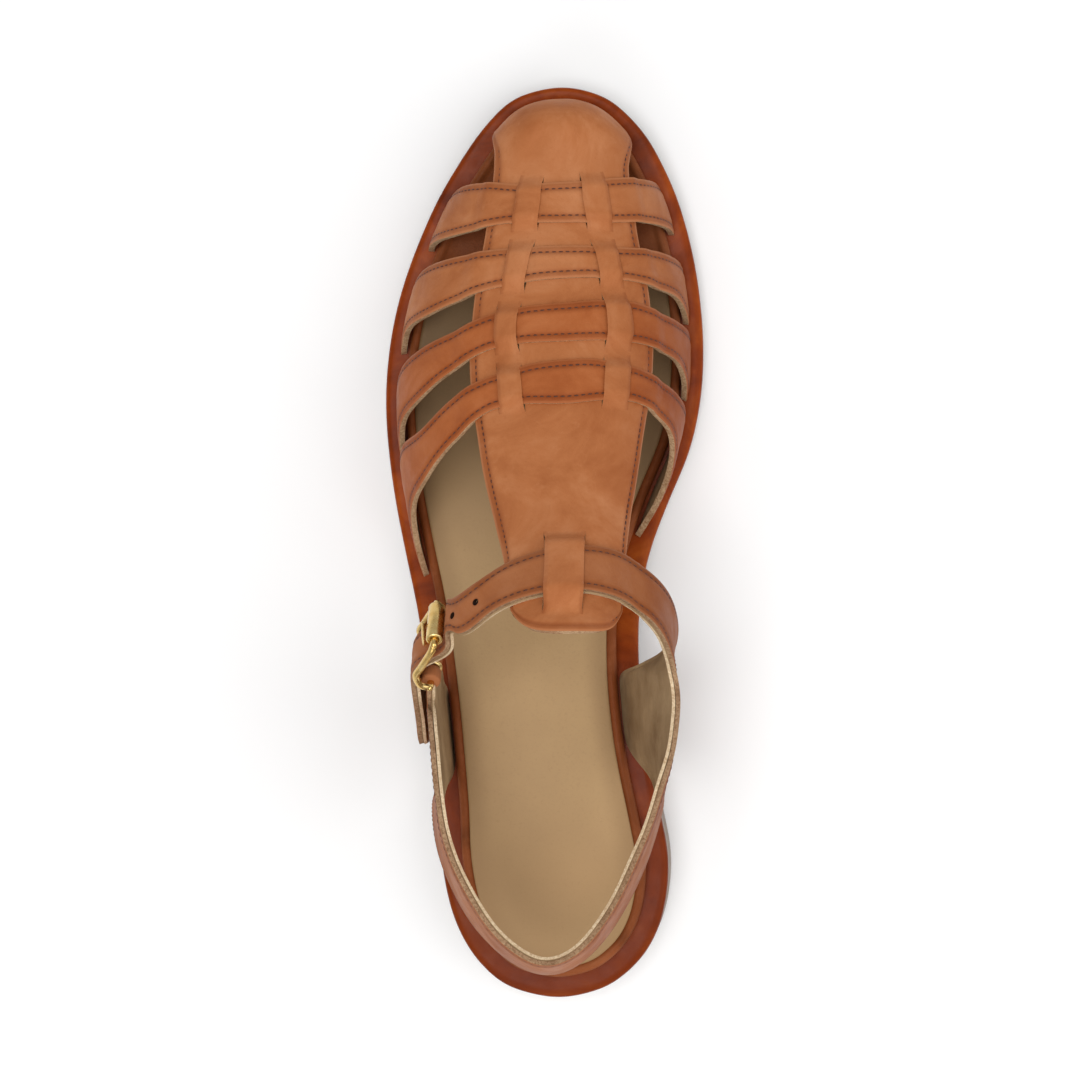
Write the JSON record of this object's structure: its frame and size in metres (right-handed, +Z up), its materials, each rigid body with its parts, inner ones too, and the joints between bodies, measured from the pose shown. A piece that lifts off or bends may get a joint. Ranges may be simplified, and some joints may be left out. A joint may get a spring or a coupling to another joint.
{
  "type": "fisherman sandal",
  "caption": "Left leather fisherman sandal: woven closed-toe upper, T-bar, ankle strap with roller buckle, closed back strap, footbed, welt and low rubber heel.",
  "frame": {"origin": "on the floor under the middle of the shoe's box", "axes": "+Z up, +Y from heel to toe, +X towards the inner side of the left foot"},
  "size_m": [0.091, 0.2576, 0.0997],
  "materials": {
    "outsole": "matte moulded rubber, grey-beige",
    "welt": "polished orange-brown leather edge",
    "footbed": "smooth brown leather rim",
    "sock": "matte khaki-beige sock leather",
    "upper": "waxed tan leather with burnished edges",
    "quarter": "waxed tan leather, beige-grey lining",
    "buckle": "satin brass"
  },
  "bodies": {
    "root": {"outsole": "outsole", "welt": "welt", "footbed": "footbed", "sock": "sock", "upper": "upper", "rear_quarter": "quarter", "buckle_frame": "buckle", "buckle_roller": "buckle", "buckle_prong": "buckle"}
  },
  "joints": []
}
